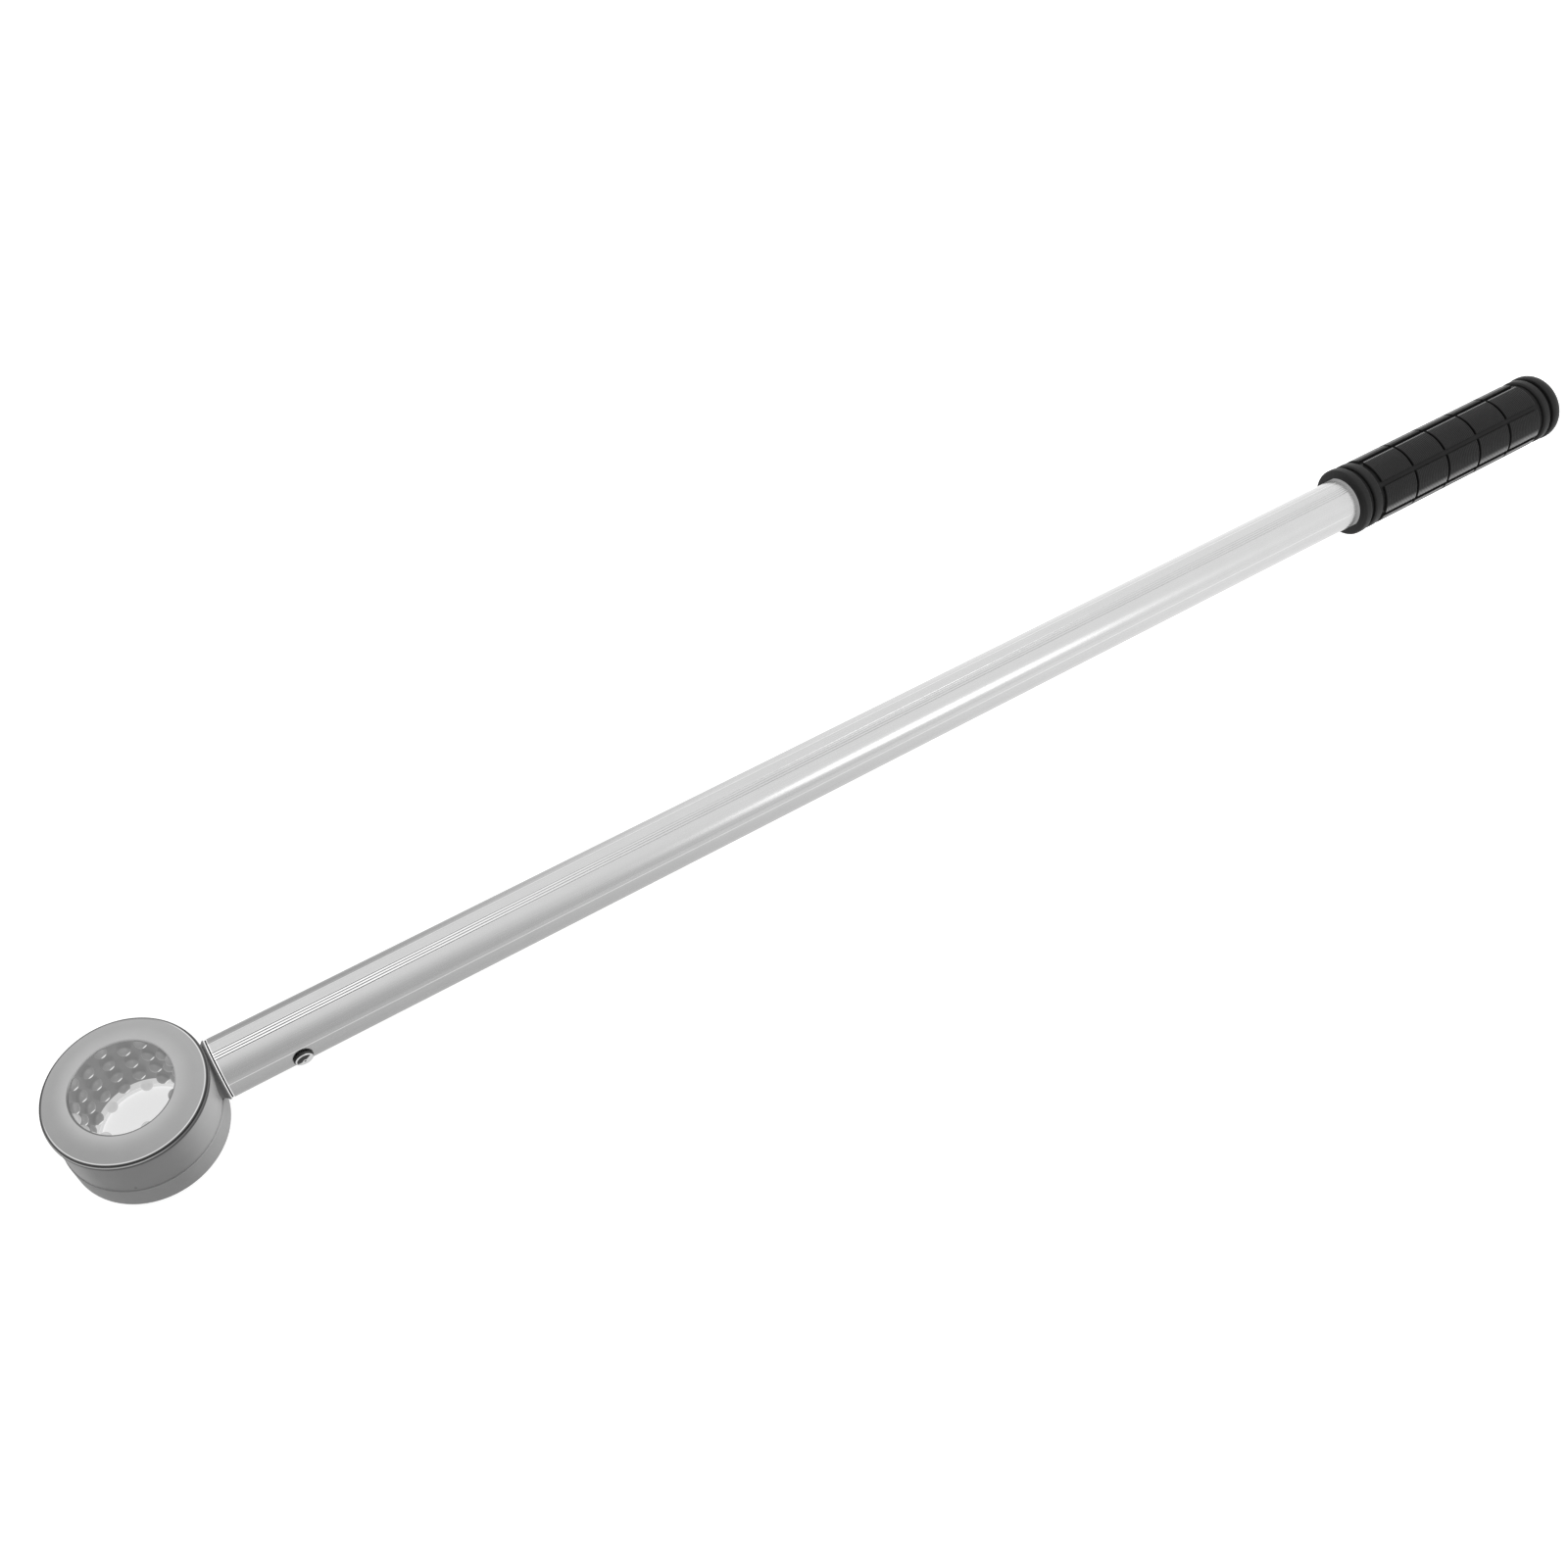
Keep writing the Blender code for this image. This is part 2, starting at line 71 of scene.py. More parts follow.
class Signal:
    """A value inside a material. Arithmetic on it adds Math nodes, and node adds any other node."""

    def __init__(self, tree, socket=None):
        self.tree = tree
        self.socket = socket

    def node(self, kind, inputs=None, output=0, stops=None, **settings):
        made = self.tree.nodes.new("ShaderNode" + kind)
        for name, value in settings.items():
            setattr(made, name, value)
        for index, (position, level) in enumerate(stops or []):
            ramp = made.color_ramp.elements
            stop = ramp[index] if index < 2 else ramp.new(position)
            stop.position = position
            stop.color = (level, level, level, 1)
        for key, value in (inputs or {}).items():
            if isinstance(value, Signal):
                self.tree.links.new(value.socket, made.inputs[key])
            else:
                made.inputs[key].default_value = value
        return Signal(self.tree, made.outputs[output])

    def math(self, operation, *values):
        return self.node("Math", dict(enumerate(values)), operation=operation)

    def __add__(self, other):
        return self.math("ADD", self, other)

    def __sub__(self, other):
        return self.math("SUBTRACT", self, other)

    def __rsub__(self, other):
        return self.math("SUBTRACT", other, self)

    def __mul__(self, other):
        return self.math("MULTIPLY", self, other)

    __radd__ = __add__
    __rmul__ = __mul__

    def above(self, level, soft):
        """0 below a level and 1 above it, over a soft step."""
        step = {0: self, 1: level - soft, 2: level + soft}
        return self.node("MapRange", step, interpolation_type="SMOOTHSTEP")


bpy.ops.object.select_all(action="DESELECT")
bpy.ops.mesh.primitive_plane_add(size=9.0, location=(0, 0, -0.4 * MM))
floor = bpy.context.object
floor.name = "floor"
table = bpy.data.materials.new("white_table")
table.use_nodes = True
top = table.node_tree.nodes["Principled BSDF"]
top.inputs["Base Color"].default_value = (0.3, 0.3, 0.3, 1)
top.inputs["Roughness"].default_value = 0.9
top.inputs["Emission Strength"].default_value = 1.0
seen = Signal(table.node_tree).node("LightPath", output="Is Camera Ray")
spot = seen.node("TexCoord", output="Object")
along = seen.node("SeparateXYZ", {0: spot}, output=0)
ring_spot = {0: spot, 1: (HEAD.x, HEAD.y, 0)}
from_ring = spot.node("VectorMath", ring_spot, output="Value", operation="DISTANCE")
# The table glows like a light table, more strongly towards the grip end. To the camera alone it looks
# brighter still, except inside the ring's hole, where a painted shade darkens it.
shine = 0.5 + 0.6 * along.above(-0.05, 0.3) + seen * (0.11 + 0.22 * from_ring.above(0.025, 0.002))
shine_grey = shine.node("CombineColor", {0: shine, 1: shine, 2: shine})
table.node_tree.links.new(shine_grey.socket, top.inputs["Emission Color"])
floor.data.materials.append(table)

room = bpy.data.worlds.new("studio")
room.use_nodes = True
ray = Signal(room.node_tree).node("TexCoord", output="Generated")
dim_side = {0: ray, 1: (-0.8, -0.85, 0)}
facing = ray.node("VectorMath", dim_side, output="Value", operation="DOT_PRODUCT")
sideways = ray.node("SeparateXYZ", {0: ray}, output=0)
level = 1.38 - 0.64 * facing.above(0.5, 0.3) + 0.1 * sideways.above(0.3, 0.3)
level = level.math("MAXIMUM", level, level.node("LightPath", output="Is Camera Ray") * 1.3)
backdrop = room.node_tree.nodes["Background"]
backdrop.inputs["Color"].default_value = (1, 1, 1, 1)
room.node_tree.links.new(level.socket, backdrop.inputs["Strength"])
bpy.context.scene.world = room


def soft_box(name, place, target, size, power):
    """A square lamp that faces its target."""
    lamp_data = bpy.data.lights.new(name, "AREA")
    lamp_data.size = size
    lamp_data.energy = power
    lamp = bpy.data.objects.new(name, lamp_data)
    bpy.context.scene.collection.objects.link(lamp)
    lamp.location = place
    lamp.rotation_euler = (Vector(target) - Vector(place)).to_track_quat("-Z", "Y").to_euler()


soft_box("front_soft_box", (0.68, -1.34, 0.89), (0, 0, 0), 0.4, 1.9)


# --- Head housing ------------------------------------------------------------------------------
# The ring wall, neck, round plate and hollow spigot, moulded in one from smoky frosted plastic.
# The spigot sits inside the pole, and the pole butts against the plate.


def new_finish(name, roughness, **numbers):
    """A Principled material and its shader, with the numbers that are the same all over."""
    material = bpy.data.materials.new(name)
    material.use_nodes = True
    shader = material.node_tree.nodes["Principled BSDF"]
    shader.inputs["Roughness"].default_value = roughness
    for key, value in numbers.items():
        shader.inputs[key.replace("_", " ")].default_value = value
    return material, shader


def centred(shader, centre):
    """Place on the piece in millimetres from its centre: along X, Y and Z, and as one vector."""
    start = Signal(shader.id_data)
    where = start.node("TexCoord", output="Object")
    scale = 1 / MM
    local = start.node("Mapping", {0: where, 1: -centre * scale, 3: (scale, scale, scale)})
    return [start.node("SeparateXYZ", {0: local}, output=i) for i in range(3)] + [local]


def distance(first, second):
    """How far two measures reach together."""
    return (first * first + second * second).math("SQRT", first * first + second * second)


def paint(shader, tone, roughness, height, glow=None):
    """Feed a grey tone, a roughness, a bump height in millimetres and a glow into the shader."""
    wires = {"Roughness": roughness}
    for key, grey in (("Base Color", tone), ("Emission Color", glow)):
        if grey:
            wires[key] = grey.node("CombineColor", {0: grey, 1: grey, 2: grey})
    wires["Normal"] = height.node("Bump", {"Strength": 0.2, "Distance": MM, "Height": height})
    for key, signal in wires.items():
        shader.id_data.links.new(signal.socket, shader.inputs[key])


def frost(local, fine=2.6):
    """The uneven haze of frosted plastic: broad clouds and fine grain, each from -1 to 1."""
    clouds = local.node("TexNoise", {"Vector": local, "Scale": 0.11, "Detail": 3.0}, output=0)
    grain = local.node("TexNoise", {"Vector": local, "Scale": fine, "Detail": 2.0}, output=0)
    return clouds * 2 - 1, grain * 2 - 1


def pick(piece, rule):
    """In edit mode, select only the corners whose place fits the rule."""
    bpy.ops.mesh.select_all(action="DESELECT")
    mesh = bmesh.from_edit_mesh(piece.data)
    for corner in mesh.verts:
        corner.select = rule(corner.co)
    mesh.select_flush_mode()
    bmesh.update_edit_mesh(piece.data)


def turn(name, outline, place, axis="Z", steps=144, closed=True):
    """Trace an outline of (radius, height) points in millimetres, and turn it round an axis."""
    along, across = Vector((0, 0, 1)), Vector((1, 0, 0))
    if axis == "X":
        along, across = across, along
    points = [(across * radius + along * height) * MM for radius, height in outline]
    bpy.ops.object.select_all(action="DESELECT")
    bpy.ops.mesh.primitive_plane_add(size=MM, location=place)
    piece = bpy.context.object
    piece.name = name
    bpy.ops.object.mode_set(mode="EDIT")
    bpy.ops.mesh.merge(type="CENTER")
    bpy.ops.transform.translate(value=points[0])
    for start, end in zip(points, points[1:]):
        bpy.ops.mesh.extrude_region_move(TRANSFORM_OT_translate={"value": end - start})
    if closed:
        pick(piece, lambda co: min((co - points[0]).length, (co - points[-1]).length) < 0.002 * MM)
        bpy.ops.mesh.edge_face_add()
    bpy.ops.mesh.select_all(action="SELECT")
    bpy.ops.mesh.spin(steps=steps, angle=2 * pi, center=place, axis=along)
    bpy.ops.mesh.select_all(action="SELECT")
    bpy.ops.mesh.remove_doubles(threshold=0.002 * MM)
    bpy.ops.mesh.normals_make_consistent(inside=False)
    bpy.ops.object.mode_set(mode="OBJECT")
    bpy.ops.object.transform_apply(location=True, rotation=True, scale=True)
    return piece


def carve(piece, tool, operation="DIFFERENCE"):
    """Cut a piece with a tool, or weld the tool on, and throw the tool away."""
    boolean = piece.modifiers.new("carve", "BOOLEAN")
    boolean.operation = operation
    boolean.object = tool
    bpy.context.view_layer.objects.active = piece
    bpy.ops.object.modifier_apply(modifier=boolean.name)
    bpy.data.objects.remove(tool)


def fit(piece, material, node, crease=35):
    """Shade a finished piece, and let it stand for its CAD node on the one rigid body."""
    bpy.ops.object.select_all(action="DESELECT")
    piece.select_set(True)
    bpy.context.view_layer.objects.active = piece
    bpy.ops.object.shade_smooth_by_angle(angle=radians(crease))
    piece.data.materials.clear()
    piece.data.materials.append(material)
    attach(piece, "root")
    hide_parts(node)


def arc(radius, height, size, start, end, steps):
    """Outline points round a corner of some size, between two angles in degrees."""
    angles = [radians(start + (end - start) * i / steps) for i in range(steps + 1)]
    return [(radius + size * cos(a), height + size * sin(a)) for a in angles]


WALL_INNER, WALL_OUTER = 31.4, 34.2
SCREW_POSITION = 70
ring = [(WALL_INNER, -6.2), (WALL_OUTER - 0.3, -6.2), (WALL_OUTER, -5.9)]
ring += [(WALL_OUTER, 15.6), (WALL_OUTER - 0.3, 15.9), (WALL_INNER, 15.9)]
housing = turn("housing_with_neck", ring, HEAD, steps=180)

stem = [(0, 26), (12.5, 26), (12.5, 32.4), (12.54, 33.0), (12.7, 33.7), (13.05, 34.35), (13.6, 34.9)]
stem += [(13.95, 35.1), (14.2, 35.45), (14.2, 36.25), (13.95, 36.5), (12.3, 36.5), (12.3, 81)]
stem += [(11.3, 82), (8.2, 82), (8.2, 44), (0, 44)]
carve(housing, turn("stem", stem, HEAD, axis="X", steps=96, closed=False), "UNION")
bore = [(0, -30), (WALL_INNER, -30), (WALL_INNER, 30), (0, 30)]
carve(housing, turn("cavity", bore, HEAD, steps=180, closed=False))

bpy.ops.object.select_all(action="DESELECT")
bpy.ops.mesh.primitive_cylinder_add(vertices=32, radius=2.1 * MM, depth=21 * MM)
pilot = bpy.context.object
pilot.rotation_euler = (pi / 2, 0, 0)
pilot.location = HEAD + Vector((SCREW_POSITION, -10.5, 0)) * MM
carve(housing, pilot)

gate_angle = radians(-112.5)
gate_spot = Vector((WALL_OUTER * cos(gate_angle), WALL_OUTER * sin(gate_angle), -3.6))
bpy.ops.object.select_all(action="DESELECT")
bpy.ops.mesh.primitive_uv_sphere_add(segments=16, ring_count=8, radius=0.55 * MM)
gate = bpy.context.object
gate.location = HEAD + gate_spot * MM
carve(housing, gate)

smoke, shader = new_finish("smoky_housing_plastic", 0.42)
x, y, z, local = centred(shader, HEAD)
clouds, grain = frost(local)
# Painted light: the ring is painted lighter towards both sides, the neck and plate back are darkened
# with painted shade, and a painted highlight runs along the plate's rim.
painted_side_light = 2 * x.above(20, 17) + 0.7 * (1 - x.above(-27, 4))
neck_shade = distance(x, y).above(34.5, 0.5)
plate_rim_highlight = x.above(36.05, 0.06) * distance(y, z).above(13.4, 0.1)
plastic = 0.148 + 0.012 * clouds + 0.008 * grain + 0.03 * (1 - z.above(-5.8, 0.1))
tone = plastic * (1 + painted_side_light) * (1 - 0.78 * neck_shade) + 0.7 * plate_rim_highlight
paint(shader, tone, 0.42 + 0.05 * grain, grain * 0.12)
fit(housing, smoke, "head_housing")


# --- Top cover ---------------------------------------------------------------------------------
# A frosted annular cap. Its domed face rolls over into the hole, and a fine groove divides the
# face from the flange that overhangs the wall; the flange's dark is painted shade. A rib under it
# snaps into the housing.

LIP_HOLE = 21.6


def domed_face(edge_radius, edge_height, lip_size):
    """Outline of a cover's face, from its edge up over the dome and round the lip into the hole."""
    land = 24.6
    rise = 22.5 - edge_height
    shares = [i / 9 for i in range(10)]
    face = [(edge_radius + (land - edge_radius) * s, 22.5 - rise * (1 - s) ** 1.5) for s in shares]
    return face + arc(LIP_HOLE + lip_size, 22.5 - lip_size, lip_size, 90, 270, 12)


ribs = [(22.85, 21.35), (25.2, 21.6), (25.2, 16.6), (26.6, 16.6), (26.6, 18.0)]
ribs += [(29.6, 18.0), (29.6, 13.0), (31.1, 13.0)]
flange = [(31.1, 16.2), (34.5, 16.2), (34.8, 16.4), (34.9, 16.8), (34.9, 17.6)]
flange += [(34.75, 18.1), (34.4, 18.35)]
groove = [(33.75, 18.4), (33.7, 18.6), (34.0, 18.75), (34.1, 19.0), (34.0, 19.25), (33.8, 19.4)]
cap = ribs + flange + groove + domed_face(33.4, 19.55, 0.8)
cover = turn("top_cover_shell", cap, HEAD, steps=200)

cover_plastic, shader = new_finish("frosted_cover_plastic", 0.4, Emission_Strength=1.0)
x, y, z, local = centred(shader, HEAD)
clouds, grain = frost(local)
reach = distance(x, y)
# Painted light: the face is painted lighter towards the hole.
near_hole = 1 - reach.above(25.5, 4.5)
face_tone = 0.265 + 0.09 * near_hole + 0.015 * clouds + 0.01 * grain
above_groove = z.above(18.7, 0.12)
# Painted shade darkens the groove, the near side of the lip and the outer edge on the unlit side. The
# flange is painted dark as shade, with a painted highlight along its lit top.
in_groove = z.above(18.28, 0.06) * (1 - z.above(19.42, 0.06))
in_groove = in_groove * (1 - reach.above(34.45, 0.1))
lit_side = (x * 0.3 - y * 0.85).above(-12, 12)
flange_top_highlight = (1 - above_groove) * z.above(17.95, 0.12) * (1 - 0.85 * x.above(4, 14)) * lit_side
flange_shade_and_highlight = 0.03 + 0.004 * grain + 0.3 * flange_top_highlight
toward_front = x * -0.54 + y * -0.84
front_lip_shade = (1 - reach.above(22.4, 0.15)) * toward_front.above(0, 8)
dim_edge = reach.above(33.3, 0.2) * (1 - lit_side)
tone = face_tone * above_groove + flange_shade_and_highlight * (1 - above_groove)
tone = tone * (1 - 0.9 * in_groove) * (1 - 0.7 * front_lip_shade) * (1 - 0.95 * dim_edge)
# A painted highlight glows along the lit side of the rolled edge.
rolled_edge_highlight = reach.above(33.25, 0.08) * z.above(19.45, 0.05) * lit_side
paint(shader, tone, 0.40 + 0.05 * grain, grain * 0.12, 0.35 * rolled_edge_highlight)
fit(cover, cover_plastic, "top_cover")


# --- Base cover --------------------------------------------------------------------------------
# A deeper cap of the same plastic, a little paler, that closes the ring from below. It is notched
# round the neck, and its snap rib reaches up inside the housing.

deep_ribs = ribs[:6] + [(29.6, 3.3), (31.1, 3.3), (31.1, 6.5)]
side = [(34.4, 6.5), (34.65, 6.6), (34.7, 6.9)] + arc(33.5, 18.7, 1.2, 0, 62, 6)
cup = deep_ribs + side + domed_face(33.6, 20.1, 0.8)
base = turn("base_cover_shell", [(radius, -height) for radius, height in cup], HEAD, steps=200)
notch = [(0, 27.6), (12.8, 27.6), (12.8, 37), (0, 37)]
carve(base, turn("notch", notch, HEAD, axis="X", steps=96, closed=False))

base_plastic, shader = new_finish("frosted_base_plastic", 0.42, Emission_Strength=1.0)
x, y, z, local = centred(shader, HEAD)
clouds, grain = frost(local)
reach = distance(x, y)
plastic = 0.165 + 0.012 * clouds + 0.008 * grain + 0.04 * z.above(-6.8, 0.1)
# Painted light: the cap is painted lighter towards the +X side. The thin lip inside the hole glows
# with painted light, standing in for table light coming through it.
tone = plastic * (1 + 0.9 * x.above(18, 16))
on_lip = (1 - reach.above(24, 0.3)) * (1 - z.above(-20.5, 0.2))
lip_glow = 0.58 + 0.3 * (1 - z.above(-22.0, 0.1))
paint(shader, tone, 0.42 + 0.05 * grain, grain * 0.12, on_lip * lip_glow)
fit(base, base_plastic, "base_cover")


# --- Gripper sleeve ----------------------------------------------------------------------------
# A soft translucent liner. Round nubs stand on it in sixteen staggered columns: they give way to
# the ball and then hold it. Below the last dark row it is thin, and light from the table shows.

SLEEVE_BORE = 22.9
NUB_SIZE, NUB_CENTRE = 2.9, 22.3
FIRST_COLUMN, TOP_ROW, ROW_STEP = 6.8, 19.5, 39 / 7
liner = [(SLEEVE_BORE, -21.3), (24.9, -21.3), (24.9, 21.3), (SLEEVE_BORE, 21.3)]
sleeve = turn("nubbed_sleeve", liner, HEAD, steps=160)

bpy.ops.object.select_all(action="DESELECT")
bpy.ops.mesh.primitive_uv_sphere_add(segments=24, ring_count=16, radius=NUB_SIZE * MM)
nub = bpy.context.object
bpy.ops.object.mode_set(mode="EDIT")
bpy.ops.mesh.select_all(action="SELECT")
root = (0, 0, -1.3 * MM)
bpy.ops.mesh.bisect(plane_co=root, plane_no=(0, 0, 1), use_fill=True, clear_inner=True)
bpy.ops.object.mode_set(mode="OBJECT")

nubs = []
for column in range(16):
    angle = radians(FIRST_COLUMN + 22.5 * column)
    outward = Vector((cos(angle), sin(angle), 0))
    for row in range(column % 2, 8, 2):
        copy = nub.copy()
        copy.data = nub.data.copy()
        bpy.context.scene.collection.objects.link(copy)
        copy.location = HEAD + (outward * NUB_CENTRE + Vector((0, 0, TOP_ROW - ROW_STEP * row))) * MM
        copy.rotation_euler = (-outward).to_track_quat("Z", "Y").to_euler()
        nubs.append(copy)
bpy.data.objects.remove(nub)
bpy.ops.object.select_all(action="DESELECT")
for copy in nubs:
    copy.select_set(True)
bpy.context.view_layer.objects.active = nubs[0]
bpy.ops.object.join()
bpy.ops.object.transform_apply(location=True, rotation=True, scale=True)
nub_rows = bpy.context.object
for side in (1, -1):
    clearance = [(21.3, 21 * side), (26, 21 * side), (26, 26 * side), (21.3, 26 * side)]
    carve(nub_rows, turn("clearance", clearance, HEAD, steps=160))
carve(sleeve, nub_rows, "UNION")

gloss = {"Specular_IOR_Level": 0.2, "Coat_Weight": 0.2, "Coat_Roughness": 0.05}
soft, shader = new_finish("soft_translucent_sleeve", 0.3, Emission_Strength=1.0, **gloss)
x, y, z, local = centred(shader, HEAD)
clouds, grain = frost(local, fine=1.2)
column = y.math("ARCTAN2", y, x) * (180 / pi / 22.5) - FIRST_COLUMN / 22.5
number = column.math("ROUND", column)
heading = number * radians(22.5) + radians(FIRST_COLUMN)
upright = z - TOP_ROW + ROW_STEP * number.math("FLOORED_MODULO", number, 2)
upright = upright.math("WRAP", upright, ROW_STEP, -ROW_STEP)
toward_x = x - NUB_CENTRE * heading.math("COSINE", heading)
toward_y = y - NUB_CENTRE * heading.math("SINE", heading)
across = toward_y * heading.math("COSINE", heading) - toward_x * heading.math("SINE", heading)
on_nub = 1 - distance(across, upright).above(2.75, 0.15)
# Each nub carries a painted highlight: a bright crescent on its lit lower edge.
lit_edge = 0.293 * toward_x - 0.854 * toward_y - 0.405 * upright
crescent_highlight = lit_edge.above(0.88 * NUB_SIZE, 0.1) * on_nub
# Painted light: the thin lowest rows and the near side glow brighter, as if the table's light shone
# through them.
lit_rows = (z - upright).above(-17, 0.15)
lit_through = 1 - on_nub * lit_rows - (1 - on_nub) * z.above(-16.2, 0.15)
toward_front = x * -0.54 + y * -0.84
lit_through = lit_through.math("MAXIMUM", lit_through, toward_front.above(12, 6))
# The sleeve is seen mostly by its own painted glow rather than by the lamps: dim over the dark rows,
# bright where light shows through.
tone = 0.045 + 0.01 * on_nub + 0.01 * clouds + 0.006 * grain
sleeve_glow = 0.175 + 0.05 * on_nub + 0.03 * clouds + 0.5 * crescent_highlight
glow = sleeve_glow * (1 - lit_through) + (0.55 - 0.05 * on_nub) * lit_through
paint(shader, tone, 0.3 + 0.05 * grain, grain * 0.08, glow)
fit(sleeve, soft, "gripper_sleeve", crease=28)


# --- Neck gasket -------------------------------------------------------------------------------
# A thin flat ring of black rubber with a rounded edge. It is nipped between the round plate and
# the end of the pole.

washer = [(12.6, 36.55), (13.5, 36.55)] + arc(13.5, 36.8, 0.25, -90, 90, 8) + [(12.6, 37.05)]
gasket = turn("neck_gasket_ring", washer, HEAD, axis="X", steps=96)
black, shader = new_finish("black_gasket_rubber", 0.6, Specular_IOR_Level=0.1)
local = centred(shader, HEAD)[-1]
clouds, grain = frost(local, fine=4.0)
paint(shader, 0.012 + 0.004 * clouds + 0.002 * grain, 0.6 + 0.1 * grain, grain * 0.2)
fit(gasket, black, "neck_gasket")


# --- Pole --------------------------------------------------------------------------------------
# A satin aluminium extrusion. Two groups of four fine grooves and four single fine ridges run along
# its whole length, as the die leaves them. It is open at both ends.

POLE_RADIUS, POLE_WALL = 14.0, 1.4
GROOVE_DEPTH, RIDGE_HEIGHT = 0.12, 0.14
GROUP_ANGLE, GROOVE_STEP = 8, 5
_, pole_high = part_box("pole_tube")
pole_start = Vector((HEAD.x + 37.15 * MM, HEAD.y, HEAD.z))

bpy.ops.object.select_all(action="DESELECT")
bpy.ops.mesh.primitive_circle_add(vertices=720, radius=POLE_RADIUS * MM, rotation=(0, pi / 2, 0))
pole = bpy.context.object
pole.name = "grooved_pole"
pole.location = pole_start
bpy.ops.object.transform_apply(location=True, rotation=True, scale=True)
bpy.ops.object.mode_set(mode="EDIT")


def round_pole(co):
    """The angle of a corner on the pole, in degrees from the top towards the front."""
    return atan2(-(co.y - HEAD.y), co.z - HEAD.z) * 180 / pi


def near_angle(centre, width):
    """A rule that fits the corners within some degrees of an angle."""
    return lambda co: abs((round_pole(co) - centre + 180) % 360 - 180) < width


shrink = 1 - GROOVE_DEPTH / POLE_RADIUS
for side in range(2):
    for line in range(4):
        pick(pole, near_angle(GROUP_ANGLE + 180 * side + GROOVE_STEP * (line - 1.5), 0.6))
        bpy.ops.transform.resize(value=(1, shrink, shrink), center_override=pole_start)
grow = 1 + RIDGE_HEIGHT / POLE_RADIUS
for centre in (68, 158, 248, 338):
    pick(pole, near_angle(centre, 0.6))
    bpy.ops.transform.resize(value=(1, grow, grow), center_override=pole_start)
bpy.ops.mesh.select_all(action="SELECT")
bpy.ops.mesh.extrude_region_move(TRANSFORM_OT_translate={"value": (pole_high.x - pole_start.x, 0, 0)})
bpy.ops.mesh.select_all(action="SELECT")
bpy.ops.mesh.normals_make_consistent(inside=False)
bpy.ops.object.mode_set(mode="OBJECT")
tube_wall = pole.modifiers.new("tube_wall", "SOLIDIFY")
tube_wall.thickness = POLE_WALL * MM
tube_wall.offset = -1
bpy.ops.object.modifier_apply(modifier=tube_wall.name)

satin, shader = new_finish("satin_aluminium", 0.26, Metallic=1.0, Emission_Strength=1.0)
x, y, z, local = centred(shader, pole_start)
reach = distance(y, z)
stretched = x.node("CombineXYZ", {0: x * 0.004, 1: y * 3.0, 2: z * 3.0})
lines = x.node("TexNoise", {"Vector": stretched, "Scale": 1.0, "Detail": 3.0}, output=0) * 2 - 1
clouds, grain = frost(local, fine=3.0)
turned_to = y.math("ARCTAN2", y * -1, z) * (180 / pi)
in_groove = 1 - reach.above(13.965, 0.03)
in_group = turned_to.above(-1, 0.3) * (1 - turned_to.above(17, 0.3))
on_ridge = reach.above(14.05, 0.02)
shaded_strip = (1 - turned_to.above(-22.3, 0.4)) * turned_to.above(-60, 5)
near_head = 1 - x.above(150, 120)
# Painted light: the ridges and the groove groups near the head are painted lighter as highlights, a
# strip beside the groups carries painted shade, and the grooves are darkened with painted shade, most
# strongly near the head.
tone = 0.46 + 0.02 * lines + 0.012 * clouds + 0.12 * on_ridge + 0.3 * in_group * near_head
tone = tone * (1 - 0.4 * shaded_strip * near_head)
tone = tone * (1 - (0.1 + 0.75 * near_head) * in_groove)
# The cut end glows as a painted highlight, and where the pole meets the grip it glows with painted
# light.
cut_end_highlight = 1 - x.above(0.4, 0.08)
far_light = 0.3 * x.above(651, 3)
roughness = 0.26 + 0.04 * lines + 0.02 * grain
paint(shader, tone, roughness, lines * 0.01 * near_head, far_light + 0.45 * cut_end_highlight)
fit(pole, satin, "pole_tube", crease=12)


# --- Screw -------------------------------------------------------------------------------------
# A bright plated pan-head screw with a cross recess, in the pole's front. It goes through the
# pole's wall into the spigot.

HEAD_RISE, HEAD_RADIUS, HEAD_RIM = 2.3, 4.6, 0.5
SEAT_RADIUS = 14.1
outline = [(0, -8), (1.0, -8), (1.9, -6), (1.9, 0), (4.3, 0), (4.6, 0.15), (4.65, 0.5)]
for degrees in range(15, 90, 8):
    rise = HEAD_RIM + (HEAD_RISE - HEAD_RIM) * sin(radians(degrees))
    outline.append((HEAD_RADIUS * cos(radians(degrees)), rise))
outline.append((0, HEAD_RISE))
screw = turn("plated_neck_screw", outline, Vector((0, 0, 0)), steps=64, closed=False)

bpy.ops.object.select_all(action="DESELECT")
bpy.ops.mesh.primitive_cube_add(size=0.95 * MM, location=(0, 0, HEAD_RISE * MM))
cross = bpy.context.object
bpy.ops.object.mode_set(mode="EDIT")
for side in ((1, 0), (-1, 0), (0, 1), (0, -1)):
    bpy.ops.mesh.select_all(action="DESELECT")
    blade = bmesh.from_edit_mesh(cross.data)
    for face in blade.faces:
        middle = face.calc_center_median()
        face.select = face.normal.xy.dot(side) > 0.9 and middle.xy.length < 0.6 * MM
    bmesh.update_edit_mesh(cross.data)
    bpy.ops.mesh.extrude_region_move(TRANSFORM_OT_translate={"value": Vector((*side, 0)) * 2.1 * MM})
pick(cross, lambda co: co.z < 0)
bpy.ops.transform.translate(value=(0, 0, -0.9 * MM))
bpy.ops.transform.resize(value=(0.55, 0.55, 1), center_override=(0, 0, 0))
bpy.ops.object.mode_set(mode="OBJECT")
carve(screw, cross)

